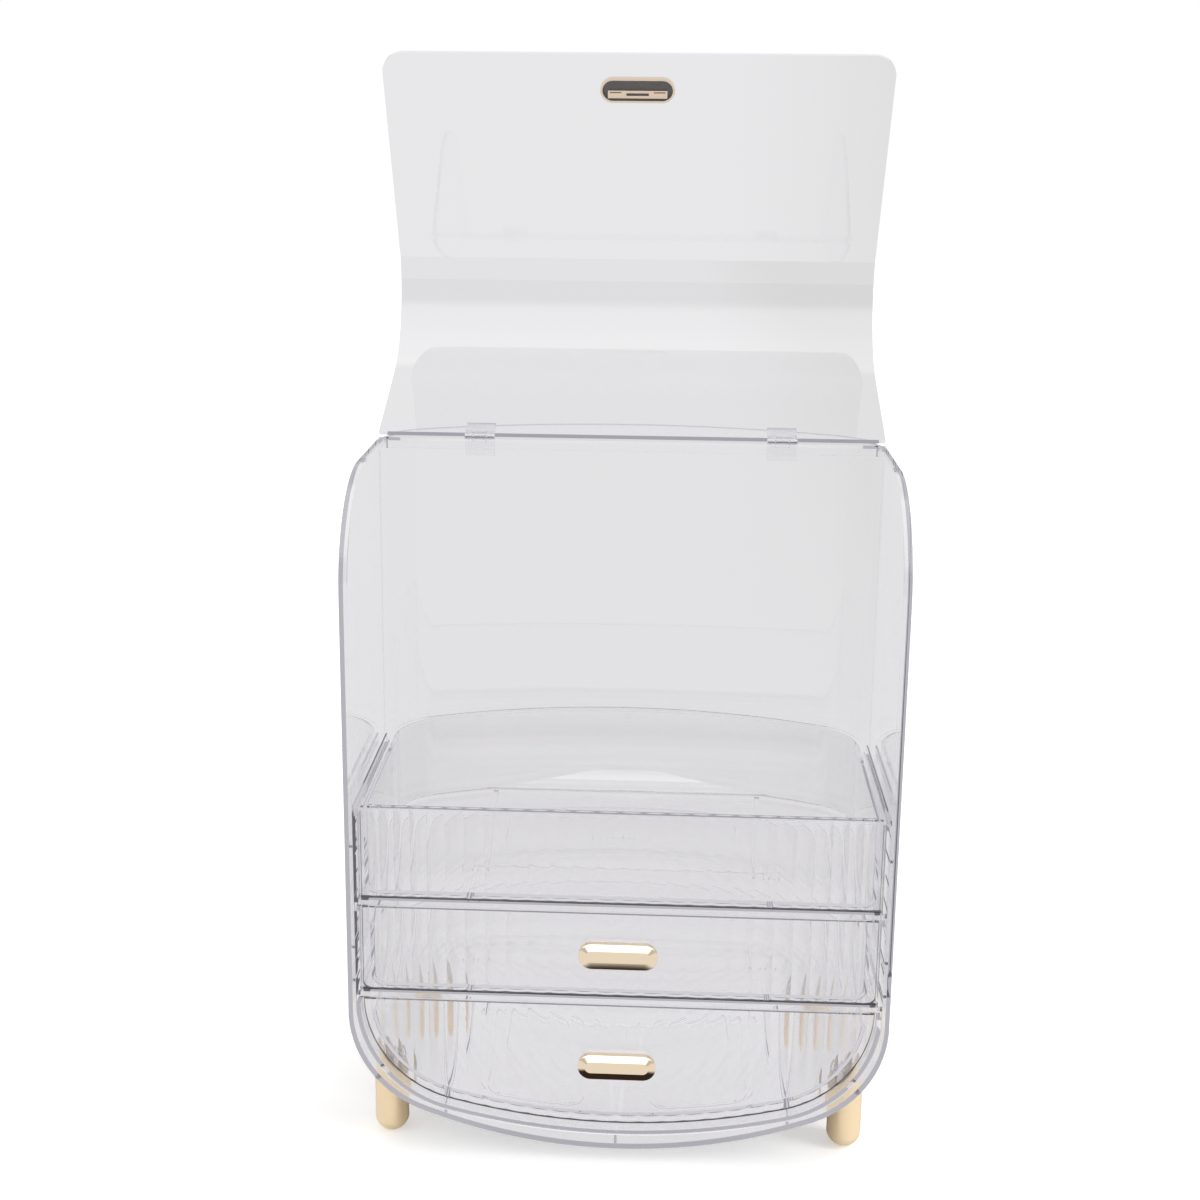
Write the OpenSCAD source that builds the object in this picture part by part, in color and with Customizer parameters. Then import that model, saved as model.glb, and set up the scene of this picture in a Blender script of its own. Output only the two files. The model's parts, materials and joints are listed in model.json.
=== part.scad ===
// Dustproof makeup organizer: a clear bow-backed housing on four gold feet, with a hinged
// wrap-over lid, an open tray and two drawers whose clear fronts are fluted on the inside.
// X runs to the right, Y to the back and Z up. Heights are above the surface it stands on.

/* [Housing] */
// Overall width of the housing at its widest
housing_w = 280; // [270:1:300]
// Depth of the housing from the front rim to the middle of the bowed back
housing_depth = 168; // [160:1:185]
// Height of the lowest point of the curved underside
housing_base = 8; // [7:0.5:10]
// Height of the top of the housing
housing_top = 365; // [355:1:380]
// Thickness of the moulded housing wall
housing_wall = 2; // [1.6:0.1:2.4]
// Radius of the shallow curve along the underside
under_r = 280; // [260:5:320]
// Radius of the big lower corners, seen from the front
corner_r = 60; // [54:1:64]
// Radius of the bow across the back, seen from above
back_r = 300; // [280:5:340]
// Radius of the rear corners, seen from above
rear_r = 39; // [34:1:44]
// Radius of the upper front corner, seen from the side
brow_r = 56; // [48:1:60]
// Inward lean of the side walls, in degrees
side_lean = 0.3; // [0.2:0.1:0.8]
// Width of the turned-in rim along the front edge
rim_w = 4; // [3:0.5:4.5]
// Thickness of the turned-in rim
rim_t = 2.5; // [2:0.1:3]
// Height of the lip that stiffens the front of the rear top panel
lip_h = 6; // [5:0.5:7]
// Thickness of that lip
lip_t = 2; // [1.6:0.1:2.4]
// Height of the moulding gate's mark on the back
gate_z = 187; // [180:1:194]
// Radius of the gate mark
gate_r = 2.6; // [2:0.1:3.4]

/* [Inner frame] */
// Thickness of the frame that guides the drawers
frame_t = 2.2; // [1.8:0.1:2.6]
// Height of the lowest point of the frame's inside
frame_base = 18.3; // [17.5:0.1:20]
// Radius of the frame's shallow bottom curve
frame_under_r = 350; // [330:5:400]
// Radius of the frame's lower corners
frame_corner_r = 60.7; // [56:0.1:64]
// Height of the top edge of the frame's side walls
frame_top = 198.5; // [197.5:0.1:200]
// Distance from the rim to the frame's back edge
frame_depth = 103; // [90:1:106]
// Setback of the frame's front edge behind the rim
frame_setback = 1; // [0.8:0.1:1.4]
// Thickness of the frame wall left beside the rim of the tray
frame_top_t = 0.8; // [0.6:0.1:1]
// Width of the ledges that carry the shelves
ledge_w = 2.8; // [2:0.1:3]
// Thickness of the ledges and stand-off ribs
rib_t = 1.6; // [1.2:0.1:2]
// Height of the lowest side ribs above the round corners
low_rib_rise = 12; // [6:1:18]
// Height of the highest side ribs above the upper shelf
high_rib_rise = 30; // [20:1:38]
// Room under the tray's rim where the frame wall is thinner
rim_room = 1; // [0.6:0.1:1.4]

/* [Shelves] */
// Height of the top face of the upper shelf
upper_shelf_z = 145.5; // [143:0.5:147]
// Height of the top face of the lower shelf
lower_shelf_z = 93; // [90:0.5:95]
// Thickness of the shelf plates
shelf_t = 2; // [1.6:0.1:2.4]
// Height of the band along the front edge of each shelf
band_h = 4.8; // [4:0.1:5.4]
// Thickness of that band
band_t = 2; // [1.6:0.1:2.4]
// Setback of the bands behind the fronts
band_setback = 0.3; // [0.2:0.1:0.6]
// Distance from the rim to the back edge of the shelves
shelf_depth = 150; // [140:1:154]
// Reach of the band's end tabs into the frame wall
tab_reach = 1.8; // [1:0.1:1.9]
// Distance from the rim to the guide ribs on the shelves
guide_y = 39; // [34:1:44]
// Length of the guide ribs
guide_len = 16; // [12:1:20]
// Height of the guide ribs
guide_h = 1; // [0.6:0.1:1.2]
// Thickness of the guide ribs
guide_t = 1; // [0.8:0.1:1.4]
// Room between a runner and its guide ribs
guide_room = 0.75; // [0.5:0.05:1]
// Distance between the three small ribs on the upper shelf
tick_pitch = 9; // [7:0.5:12]
// Distance from the rim to the three small ribs
tick_y = 84; // [78:1:92]
// Length of the three small ribs
tick_len = 6; // [4:0.5:8]

/* [Fronts] */
// Setback of the tray and drawer fronts behind the rim
front_setback = 6.6; // [6:0.1:8]
// Thickness of the fronts
front_t = 3; // [2.6:0.1:3.4]
// Running gap round the fronts
front_gap = 0.6; // [0.4:0.1:0.8]
// Radius of the upper drawer front's lower corners
front_corner_r = 4; // [2:0.5:6]
// Depth of the flutes on the inner face
flute_depth = 0.8; // [0.5:0.1:1.2]
// Sideways spread of the flutes, which sets how wide the middle ones are
flute_spread = 151; // [140:1:165]
// Turn between one flute and the next, in degrees
flute_turn = 4.55; // [4.3:0.05:4.8]
// Flat land left between two flutes
flute_land = 0.3; // [0.2:0.1:0.5]

/* [Tray and drawers] */
// Height of the tray's top edge
tray_top = 196; // [195:0.1:197]
// Reach of the tray's rim inside the outline of the housing
tray_rim_inset = 6.6; // [6.2:0.1:7.5]
// Width of the tray's rim
tray_rim_w = 4.2; // [3:0.1:5]
// Thickness of the tray's rim
tray_rim_t = 1.8; // [1.4:0.1:2.2]
// Reach of the rim past the tray's front
tray_rim_proud = 0.8; // [0.4:0.1:1.2]
// Reach of the tray's side walls inside the outline of the housing
tray_inset = 8.8; // [8.6:0.1:10]
// Reach of the drawers' side walls inside the outline of the housing
drawer_inset = 11; // [10.6:0.1:13]
// Wall thickness of the tray and drawers
box_t = 2; // [1.6:0.1:2.4]
// Radius where the tray's floor turns up into the back
tray_heel_r = 14; // [8:1:18]
// Radius where the floors turn up into the side walls
floor_r = 7; // [5:0.5:9]
// Height of the upper drawer's side walls
upper_drawer_h = 36; // [30:1:39]
// Height of the top edge of the lower drawer's side walls
lower_drawer_rise = 80; // [70:1:84]
// Room between the lower drawer's curved floor and the frame
lower_drawer_room = 4; // [3.4:0.1:5]
// Depth of the runners under the tray and the upper drawer
runner_h = 1.9; // [1.4:0.1:2.4]
// Width of the runners
runner_w = 3; // [2:0.1:3.4]
// Distance of the runners' ends from the back edge of the shelves
runner_end = 8; // [4:1:14]
// Sideways place of the runners
runner_x = 77; // [70:1:84]
// Sideways place of the lower drawer's runners
low_runner_x = 90; // [60:1:94]
// Height of the raised outlines on the lower drawer's floor
outline_h = 0.8; // [0.5:0.1:1.2]
// Width of a raised outline, from side to side
outline_w = 54; // [48:1:60]
// Depth of a raised outline, from front to back
outline_d = 86; // [76:1:92]
// Corner radius of the raised outlines
outline_r = 10; // [6:1:14]
// Width of the line that draws them
outline_line = 1.2; // [0.8:0.1:1.6]
// Sideways place of the middle of a raised outline
outline_x = 44.5; // [40:0.5:48]
// Distance from the rim to the middle of the raised outlines
outline_y = 55; // [50:1:60]

/* [Handles] */
// Length of a handle
handle_w = 41; // [36:1:46]
// Height of a handle
handle_h = 14; // [12:0.5:16]
// Reach of a handle in front of its panel
handle_proud = 5; // [4:0.5:6]
// Width of the bevel round the handle's face
handle_bevel = 2.4; // [1.6:0.1:2.8]
// Wall thickness of the hollow handle
handle_wall = 1.2; // [1:0.1:1.4]
// Height of the middle of the upper drawer's handle
upper_handle_z = 117.5; // [112:0.5:122]
// Height of the middle of the lower drawer's handle
lower_handle_z = 53.5; // [48:0.5:58]
// Distance of the lid handle's middle from the lid's free edge
lid_handle_in = 21.5; // [16:0.5:30]
// Length of the clip bar inside a handle
clip_w = 32.6; // [28:0.2:32.8]
// Height of the clip bar
clip_h = 4.4; // [3.6:0.2:4.8]
// Thickness of the clip bar
clip_t = 1.6; // [1.2:0.1:1.8]
// Distance of the clip bar from the middle of its handle
clip_off = 0.3; // [0.1:0.1:0.5]
// Length of the slot in the clip bar
clip_slot_w = 12.4; // [9:0.2:15]
// Length of the raised tabs at the ends of the clip bar
clip_tab_w = 6.4; // [5:0.2:8]
// Distance of a tab from the end of the clip bar
clip_tab_in = 1; // [0.6:0.1:2]

/* [Lid] */
// Thickness of the lid
lid_t = 2.4; // [2:0.1:2.8]
// Room between the rim and the closed lid
lid_gap = 0.5; // [0.4:0.1:0.8]
// Room between the tray's top edge and the free edge of the closed lid
lid_edge_room = 0.5; // [0.4:0.1:2]
// Radius of the corners at the lid's free edge
lid_corner_r = 12; // [8:1:16]
// Opening angle of the lid, in degrees
lid_open = 156; // [140:1:156]

/* [Hinges] */
// Distance from the rim to the hinge line
hinge_y = 118.2; // [114:0.1:124]
// Height of the hinge line above the top of the housing
hinge_rise = 1.4; // [1.2:0.1:1.8]
// Radius of the hinge knuckles
knuckle_r = 2.6; // [2.4:0.1:2.8]
// Radius of the hinge pins
pin_r = 0.8; // [0.7:0.05:0.9]
// Sideways place of the hinges
hinge_x = 82.5; // [70:0.5:96]
// Width of a hinge
hinge_w = 16; // [14:0.5:20]
// Width of the lid's knuckle, between the two ears
knuckle_w = 7.4; // [6:0.2:8]
// Height of the hinge leaf on the housing
leaf_h = 9; // [8:0.5:12]
// Thickness of the hinge leaves
leaf_t = 1.4; // [1.2:0.1:1.6]
// Room between the lid's end and the knuckles
lid_end_room = 0.2; // [0.2:0.1:0.6]
// Reach of the lid's hinge leaf along the lid, from the hinge line
lid_leaf_reach = 10.5; // [8:0.5:14]
// Size of the small clear pads that the closed lid rests on
pad_size = 3; // [2:0.5:3]
// Distance of the pads from the side edges of the top
pad_in = 0.5; // [0.4:0.1:1]
// Distance of the pads behind the round front corner
pad_back = 2; // [1:0.5:6]
// Room between the knuckles and the lip's front face
lip_room = 0.2; // [0.2:0.1:0.6]
// Room under the lid's knuckle in the notch of the bracket
notch_room = 0.3; // [0.2:0.1:0.6]
// Thickness of the toe that stops the open lid on the lip
toe_t = 0.9; // [0.7:0.1:1]
// Reach of the toe behind the lip's front face
toe_reach = 2.2; // [1.6:0.1:2.6]

/* [Feet] */
// Diameter of the feet
foot_d = 18; // [14:1:20]
// Distance of the front feet's middle from the widest side
foot_in = 17.5; // [16:0.5:21]
// Distance of the front feet from the rim
foot_front_y = 25; // [20:1:32]
// Distance of the rear feet from the rim
foot_rear_y = 112; // [100:1:116]
// Distance of the rear feet's middle from the widest side
foot_rear_in = 22; // [20:0.5:28]
// Height of the rounded foot end
foot_dome_h = 7; // [6:0.5:8]
// Radius of the flat that a foot stands on
foot_flat_r = 3; // [2:0.5:4]
// Radius of the foot screws
screw_r = 1.4; // [1.2:0.1:1.6]
// Radius of the screw heads
screw_head_r = 2.7; // [2.4:0.1:3]
// Length of the foot screws under the head
screw_len = 9; // [8:0.5:10]
// Height of the screw heads
screw_head_h = 1.6; // [1.4:0.1:2]
// Room round a screw head in the hole for the screwdriver
driver_room = 0.6; // [0.4:0.1:1]

/* [Clearances] */
// Gap between pieces that are seated on each other
seat_gap = 0.05; // [0.03:0.01:0.08]
// Running clearance of a pin in its bore
pin_gap = 0.05; // [0.03:0.01:0.08]
// Side clearance between the hinge knuckles
knuckle_gap = 0.3; // [0.2:0.05:0.4]
// Clearance under the runners and under the open lid's toes
slide_gap = 0.1; // [0.05:0.05:0.15]

/* [Hidden] */

$fn = 96;
CLEAR = [0.80, 0.82, 0.90, 0.35];
CLEAR_FRAME = [0.72, 0.74, 0.84, 0.45];
GOLD = [0.93, 0.76, 0.48];
DARK_GOLD = [0.62, 0.46, 0.28];
STEEL = [0.70, 0.70, 0.72];
FAR = 30;

half_w = housing_w / 2;
lean = tan(side_lean);
corner_z = tub_corner_z(half_w, housing_base, under_r, corner_r);

// The frame fits inside the turned-in rim
frame_w = half_w - rim_w - seat_gap - frame_t;
frame_corner_z = tub_corner_z(frame_w, frame_base, frame_under_r, frame_corner_r);
frame_step_z = tray_top - tray_rim_t - rim_room;

// The rear corner stands a little outside the side wall, which leaves a faint upright line
rear_over = 0.3;

// Round corners stand this far outside the lines that they join, so that the curves cross cleanly
blend = 0.04;

// Walls and runners reach this far into a front, past the bottom of its flutes
front_bite = 0.4;

// Places of the feet
foot_x = half_w - foot_in;
foot_rear_x = half_w - foot_rear_in;

// The hole for the screwdriver runs this far from the head through the frame
driver_reach = 16;

// Step inside a handle where its hollow narrows towards the face
handle_step = 0.3;

// Parts of one body are sunk into each other by this much
bite = 0.1;

// Heights of the openings between the shelves
lower_band_z = lower_shelf_z - band_h;
upper_band_z = upper_shelf_z - band_h;
front_back_y = front_setback + front_t;
core_y = front_back_y - flute_depth - front_bite;

// Hinge line and the turned lid
hinge_z = housing_top + hinge_rise;
lip_y = hinge_y + knuckle_r + lip_room;
lid_outer = lid_gap + lid_t;
lid_end_y = hinge_y - knuckle_r - lid_end_room;
lid_edge_z = tray_top + lid_edge_room;
lid_handle_z = lid_edge_z + lid_handle_in;

// Room between the lid's leaf and the ears, and reach of the knuckle's arm past its round
leaf_room = 0.6;
arm_run = 1.5;

// Rearmost point of the open lid's bend, and the middle of the whole depth
bend_dy = brow_r - hinge_y;
bend_dz = housing_top - brow_r - hinge_z;
bend_y = hinge_y + bend_dy * cos(lid_open) + bend_dz * sin(lid_open);
depth_mid = (bend_y + brow_r + lid_outer) / 2;

// Height of the centre of a lower corner arc that is tangent to the side and the underside
function tub_corner_z(w, low, r_low, r_corner) =
    low + r_low - sqrt(pow(r_low - r_corner, 2) - pow(w - r_corner, 2));

// Half width of the leaning inside of the frame at a height
function frame_x(z) = frame_w - lean * (z - frame_corner_z);

// Half width of the leaning outside of the housing at a height
function housing_x(z) = half_w - lean * (z - corner_z);

// Sideways place of the edge of a flute, counted from the middle
function flute_x(k) = flute_spread * sin(k * flute_turn);

// Extrusions along the three axes, from one coordinate to another
module along_x(x0, x1) { translate([x0, 0, 0]) rotate([90, 0, 90]) linear_extrude(x1 - x0) children(); }
module along_y(y0, y1) { translate([0, y1, 0]) rotate([90, 0, 0]) linear_extrude(y1 - y0) children(); }
module along_z(z0, z1) { translate([0, 0, z0]) linear_extrude(z1 - z0) children(); }

// Rectangle from two corners
module rect(x0, y0, x1, y1) { translate([x0, y0]) square([x1 - x0, y1 - y0]); }

// Box from two corners
module block(x0, y0, z0, x1, y1, z1) { translate([x0, y0, z0]) cube([x1 - x0, y1 - y0, z1 - z0]); }

// One side of the object, 1 for the right and -1 for the left, and both sides
module on_side(side) { if (side > 0) children(); else mirror([1, 0, 0]) children(); }
module both_sides() { children(); mirror([1, 0, 0]) children(); }

// The object stands with the middle of its depth over the origin
module placed() { translate([0, -depth_mid, 0]) children(); }

// The lid and what is on it, drawn closed and turned up round the hinge line
module turned_up() {
    translate([0, hinge_y, hinge_z]) rotate([-lid_open, 0, 0]) translate([0, -hinge_y, -hinge_z]) children();
}

// U-shaped outline: a shallow curve below, round lower corners and leaning sides
module tub(w, low, r_low, r_corner, inset, top, slope) {
    cx = w - r_corner;
    cz = tub_corner_z(w, low, r_low, r_corner);
    mid = low + r_low;
    reach = 2 * r_low / (r_low - r_corner);
    side = w - inset - blend;
    intersection() {
        translate([0, mid]) rotate(90) circle(r_low - inset - blend, $fn = 360);
        polygon([[-cx, cz], [cx, cz], [cx * reach, mid + (cz - mid) * reach],
                 [-cx * reach, mid + (cz - mid) * reach]]);
    }
    for (s = [-1, 1]) translate([s * cx, cz]) rotate(90 + s * 45) circle(r_corner - inset, $fn = 180);
    polygon([[-side, cz], [side, cz], [side - slope * (top - cz), top], [-(side - slope * (top - cz)), top]]);
}

// Outline of the housing from the front
module housing_front(inset) { tub(half_w, housing_base, under_r, corner_r, inset, housing_top + FAR, lean); }

// Outline of the frame's inside from the front
module frame_front(inset) {
    tub(frame_w, frame_base, frame_under_r, frame_corner_r, inset, housing_top + FAR, lean);
}

// Outline of the housing from above, open past the front
module housing_plan(inset, over = 0) {
    mirror([0, 1]) tub(half_w + over, -housing_depth, back_r, rear_r, inset, FAR, 0);
}

// Outline of the upper front corner from the side, filled towards the back and below
module brow(inset) {
    translate([brow_r, housing_top - brow_r]) circle(brow_r - inset, $fn = 240);
    rect(brow_r, -FAR, housing_depth + FAR, housing_top - inset);
    rect(inset, -FAR, brow_r, housing_top - brow_r);
}

// The housing's plan carried up along its leaning sides
module leaning_plan(inset) {
    both_sides() intersection() {
        translate([0, 0, corner_z]) rotate([0, -side_lean, 0]) translate([0, 0, -corner_z])
            along_z(-FAR, housing_top + 2 * FAR) intersection() {
                housing_plan(inset, rear_over);
                rect(-FAR, -2 * FAR, housing_w, housing_depth + FAR);
            }
        block(0, -2 * FAR, -2 * FAR, housing_w, housing_depth + FAR, housing_top + 3 * FAR);
    }
}

// Solid form of the housing
module housing_form() {
    intersection() {
        along_y(0, housing_depth + FAR) housing_front(0);
        leaning_plan(0);
        along_x(-housing_w, housing_w) brow(0);
    }
}

// Inside of the housing: open at the front, and at the top as far back as the lip
module housing_room() {
    intersection() {
        along_y(-FAR, housing_depth + FAR) housing_front(housing_wall);
        leaning_plan(housing_wall);
        along_x(-housing_w, housing_w) polygon([
            [-FAR, -FAR], [-FAR, housing_top + FAR], [lip_y, housing_top + FAR],
            [lip_y, housing_top - lip_h], [lip_y + lip_t, housing_top - lip_h],
            [lip_y + lip_t, housing_top - housing_wall],
            [housing_depth + FAR, housing_top - housing_wall], [housing_depth + FAR, -FAR]
        ]);
    }
}

// Turned-in rim, which follows the front edge up, round the brow and back to the lip
module housing_rim() {
    intersection() {
        along_y(0, lip_y) difference() {
            housing_front(0);
            frame_front(-frame_t - seat_gap);
        }
        along_x(-housing_w, housing_w) difference() {
            brow(0);
            brow(rim_t);
        }
    }
}

// Axis of a foot's screw, from the inner face of the wall down and out into the foot
module screw_axis(x, y) {
    slant = acos((x - (half_w - corner_r)) / corner_r);
    translate([half_w - corner_r, y, corner_z]) rotate([0, 90 + slant, 0])
        translate([0, 0, corner_r - housing_wall]) children();
}

// Each of the four screw axes
module screw_axes() {
    both_sides() {
        screw_axis(foot_x, foot_front_y) children();
        screw_axis(foot_rear_x, foot_rear_y) children();
    }
}

// Pocket and pad on the flat part of the rim just behind the brow
module rest_pad(gap, top) {
    x1 = housing_x(housing_top) - pad_in;
    y0 = brow_r + pad_back;
    block(x1 - pad_size - gap, y0 - gap, housing_top - rim_t / 2 - gap,
          x1 + gap, y0 + pad_size * 4 / 3 + gap, top);
}

// Mark of the moulding gate on the back: a thin disc with a nub
module gate_mark() {
    translate([0, housing_depth, gate_z]) rotate([-90, 0, 0]) {
        translate([0, 0, -bite]) cylinder(h = bite + gate_r / 8, r = gate_r, $fn = 48);
        cylinder(h = gate_r / 4, r = gate_r / 4, $fn = 32);
    }
}

module housing_shell() color(CLEAR) placed() {
    difference() {
        union() {
            difference() {
                housing_form();
                housing_room();
            }
            housing_rim();
            gate_mark();
        }
        both_sides() rest_pad(seat_gap, housing_top + lid_gap);
        screw_axes() translate([0, 0, -housing_wall])
            cylinder(h = 3 * housing_wall, r = screw_r + slide_gap * 2, $fn = 48);
    }
}

module lid_rest_pad(side) color(CLEAR) placed() on_side(side)
    rest_pad(0, housing_top + lid_gap - slide_gap);

// Wall of the frame with its stand-off ribs, from the front
module frame_section() {
    side_ribs = [frame_corner_z + low_rib_rise, (lower_shelf_z + upper_shelf_z) / 2,
                 upper_shelf_z + high_rib_rise];
    difference() {
        frame_front(-frame_t);
        frame_front(0);
        rect(-housing_w, frame_top, housing_w, housing_top + 2 * FAR);
    }
    difference() {
        intersection() {
            housing_front(housing_wall + seat_gap);
            union() {
                for (z = side_ribs) rect(-housing_w, z, housing_w, z + rib_t);
                for (x = [-low_runner_x, 0, low_runner_x])
                    rect(x - rib_t / 2, 0, x + rib_t / 2, frame_corner_z);
            }
        }
        frame_front(-frame_t / 2);
    }
}

// Ledge under a shelf, along the inside of the frame
module frame_ledge(z) {
    along_y(front_back_y + box_t, frame_depth) intersection() {
        difference() {
            frame_front(-frame_t / 2);
            frame_front(ledge_w);
        }
        rect(-housing_w, z - rib_t, housing_w, z);
    }
}

// Notch in the front edge of the frame for the end of a shelf's band
module band_notch(z) {
    block(-housing_w, -FAR, z - seat_gap,
          housing_w, front_setback + band_setback + band_t + seat_gap, z + band_h + seat_gap);
}

module drawer_frame() color(CLEAR_FRAME) placed() {
    difference() {
        union() {
            difference() {
                along_y(frame_setback, frame_depth) frame_section();
                block(-housing_w, -FAR, 0, housing_w, rim_t + seat_gap, housing_top);
            }
            along_y(frame_setback, rim_t + frame_setback) difference() {
                frame_front(-frame_t);
                frame_front(0);
                rect(-housing_w, frame_top, housing_w, housing_top + 2 * FAR);
            }
            frame_ledge(lower_shelf_z - shelf_t - seat_gap);
            frame_ledge(upper_shelf_z - shelf_t - seat_gap);
        }
        for (z = [lower_band_z, upper_band_z]) band_notch(z);
        along_y(-FAR, housing_depth) intersection() {
            frame_front(-frame_t + frame_top_t);
            rect(-housing_w, frame_step_z, housing_w, housing_top);
        }
        screw_axes() translate([0, 0, -driver_reach])
            cylinder(h = driver_reach, r = screw_head_r + driver_room, $fn = 48);
    }
}

// Shelf plate with its front band, end tabs and pairs of guide ribs
module shelf(z) {
    band_y = front_setback + band_setback;
    intersection() {
        along_z(z - shelf_t, z) housing_plan(tray_rim_inset);
        along_y(band_y, shelf_depth) frame_front(seat_gap);
    }
    along_y(band_y, band_y + band_t) intersection() {
        frame_front(-tab_reach);
        rect(-housing_w, z - band_h, housing_w, z);
    }
    for (x = [-runner_x, runner_x], s = [-1, 1])
        shelf_rib(x + s * (runner_w / 2 + guide_room + guide_t / 2), guide_y, guide_len, z);
}

// Low rib on a shelf, running front to back
module shelf_rib(x, y, len, z) {
    block(x - guide_t / 2, y, z - bite, x + guide_t / 2, y + len, z + guide_h);
}

module upper_shelf() color(CLEAR) placed() {
    shelf(upper_shelf_z);
    for (k = [-1, 0, 1]) shelf_rib(k * tick_pitch, tick_y, tick_len, upper_shelf_z);
}

module lower_shelf() color(CLEAR) placed() shelf(lower_shelf_z);

// Plan of a front: a flat outer face and flutes along the inner face
module fluted_plan() {
    count = floor(asin((frame_w - 4) / flute_spread) / flute_turn);
    difference() {
        rect(-half_w, front_setback, half_w, front_back_y);
        for (s = [-1, 1], k = [0:count - 1]) {
            half_chord = (flute_x(k + 1) - flute_x(k) - flute_land) / 2;
            r = (pow(half_chord, 2) + pow(flute_depth, 2)) / (2 * flute_depth);
            translate([s * (flute_x(k) + flute_x(k + 1)) / 2, front_back_y + r - flute_depth])
                circle(r, $fn = 96);
        }
    }
}

// Fluted front between two heights, cut to the opening of the frame
module front_panel(z0, z1, corner = 0) {
    x0 = frame_x(z0) - front_gap;
    intersection() {
        along_z(0, housing_top) fluted_plan();
        along_y(0, housing_depth) difference() {
            intersection() {
                frame_front(front_gap);
                rect(-housing_w, z0, housing_w, z1);
            }
            if (corner > 0) for (s = [-1, 1]) difference() {
                translate([s * x0, z0]) square(2 * corner, center = true);
                translate([s * (x0 - corner), z0 + corner]) circle(corner, $fn = 48);
            }
        }
    }
}

// Solid form of a bow-backed box with a rounded floor, pulled in by inset all round
module box_form(plan_inset, z0, z1, heel_r, inset, top) {
    w = half_w - plan_inset - inset;
    back = housing_depth - plan_inset - inset;
    low = z0 + inset;
    side_r = floor_r - inset;
    back_heel_r = heel_r - inset;
    intersection() {
        along_z(z0, z1 + top) housing_plan(plan_inset + inset);
        along_y(core_y, housing_depth) {
            rect(-(w - side_r), low, w - side_r, z1 + top);
            rect(-w, low + side_r, w, z1 + top);
            for (s = [-1, 1]) translate([s * (w - side_r), low + side_r]) circle(side_r, $fn = 64);
        }
        along_x(-housing_w, housing_w) {
            rect(core_y, low, back - back_heel_r, z1 + top);
            rect(core_y, low + back_heel_r, back, z1 + top);
            translate([back - back_heel_r, low + back_heel_r]) circle(back_heel_r, $fn = 64);
        }
    }
}

// Box behind a front: floor, side walls and bowed back
module box_walls(plan_inset, z0, z1, heel_r) {
    difference() {
        box_form(plan_inset, z0, z1, heel_r, 0, 0);
        box_form(plan_inset, z0, z1, heel_r, box_t, FAR);
    }
}

// Runners under a box, a sliding clearance above the shelf
module runners(z0) {
    for (s = [-1, 1])
        block(s * runner_x - runner_w / 2, core_y, z0 - runner_h + slide_gap, s * runner_x + runner_w / 2,
              shelf_depth - runner_end, z0 + box_t / 2);
}

module makeup_tray() color(CLEAR) placed() {
    floor_z = upper_shelf_z + runner_h;
    front_panel(upper_shelf_z + front_gap, tray_top);
    box_walls(tray_inset, floor_z, tray_top, tray_heel_r);
    runners(floor_z);
    along_z(tray_top - tray_rim_t, tray_top) difference() {
        intersection() {
            housing_plan(tray_rim_inset);
            rect(-half_w, front_setback - tray_rim_proud, half_w, housing_depth);
        }
        intersection() {
            housing_plan(tray_rim_inset + tray_rim_w);
            rect(-half_w, front_back_y, half_w, housing_depth);
        }
    }
}

module upper_drawer() color(CLEAR) placed() {
    floor_z = lower_shelf_z + runner_h;
    front_panel(lower_shelf_z + front_gap, upper_band_z - front_gap, front_corner_r);
    box_walls(drawer_inset, floor_z, floor_z + upper_drawer_h, floor_r + 1);
    runners(floor_z);
}

// Section of the lower drawer's box: it follows the curved bottom of the frame
module low_box_form(inset, top) {
    intersection() {
        along_y(core_y, housing_depth) intersection() {
            frame_front(lower_drawer_room + inset);
            rect(-housing_w, 0, housing_w, lower_drawer_rise + top);
        }
        along_z(0, lower_drawer_rise + top) housing_plan(drawer_inset + inset);
    }
}

// Raised rounded outlines on the lower drawer's floor
module floor_outlines() {
    intersection() {
        along_z(0, frame_corner_z) for (s = [-1, 1]) translate([s * outline_x, outline_y]) difference() {
            rounded_rect(outline_w, outline_d, outline_r);
            rounded_rect(outline_w - 2 * outline_line, outline_d - 2 * outline_line,
                         outline_r - outline_line);
        }
        along_y(core_y, housing_depth) difference() {
            frame_front(lower_drawer_room + box_t / 2);
            frame_front(lower_drawer_room + box_t + outline_h);
        }
    }
}

// Rectangle with rounded corners, centred
module rounded_rect(w, h, r) {
    square([w - 2 * r, h], center = true);
    square([w, h - 2 * r], center = true);
    for (sx = [-1, 1], sy = [-1, 1]) translate([sx * (w / 2 - r), sy * (h / 2 - r)]) circle(r, $fn = 48);
}

module lower_drawer() color(CLEAR) placed() {
    front_panel(0, lower_band_z - front_gap);
    difference() {
        low_box_form(0, 0);
        low_box_form(box_t, FAR);
    }
    along_y(core_y, frame_depth) for (s = [-1, 1]) intersection() {
        rect(s * low_runner_x - runner_w / 2, 0, s * low_runner_x + runner_w / 2, frame_corner_z);
        difference() {
            frame_front(slide_gap);
            frame_front(lower_drawer_room + box_t / 2);
        }
    }
    floor_outlines();
}

// Outline of a handle from the front, pulled in by inset
module pill(inset) {
    r = handle_h / 2 - inset;
    run = handle_w / 2 - handle_h / 2;
    for (s = [-1, 1]) translate([s * run, 0]) circle(r, $fn = 64);
    square([2 * run, 2 * r], center = true);
}

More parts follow.
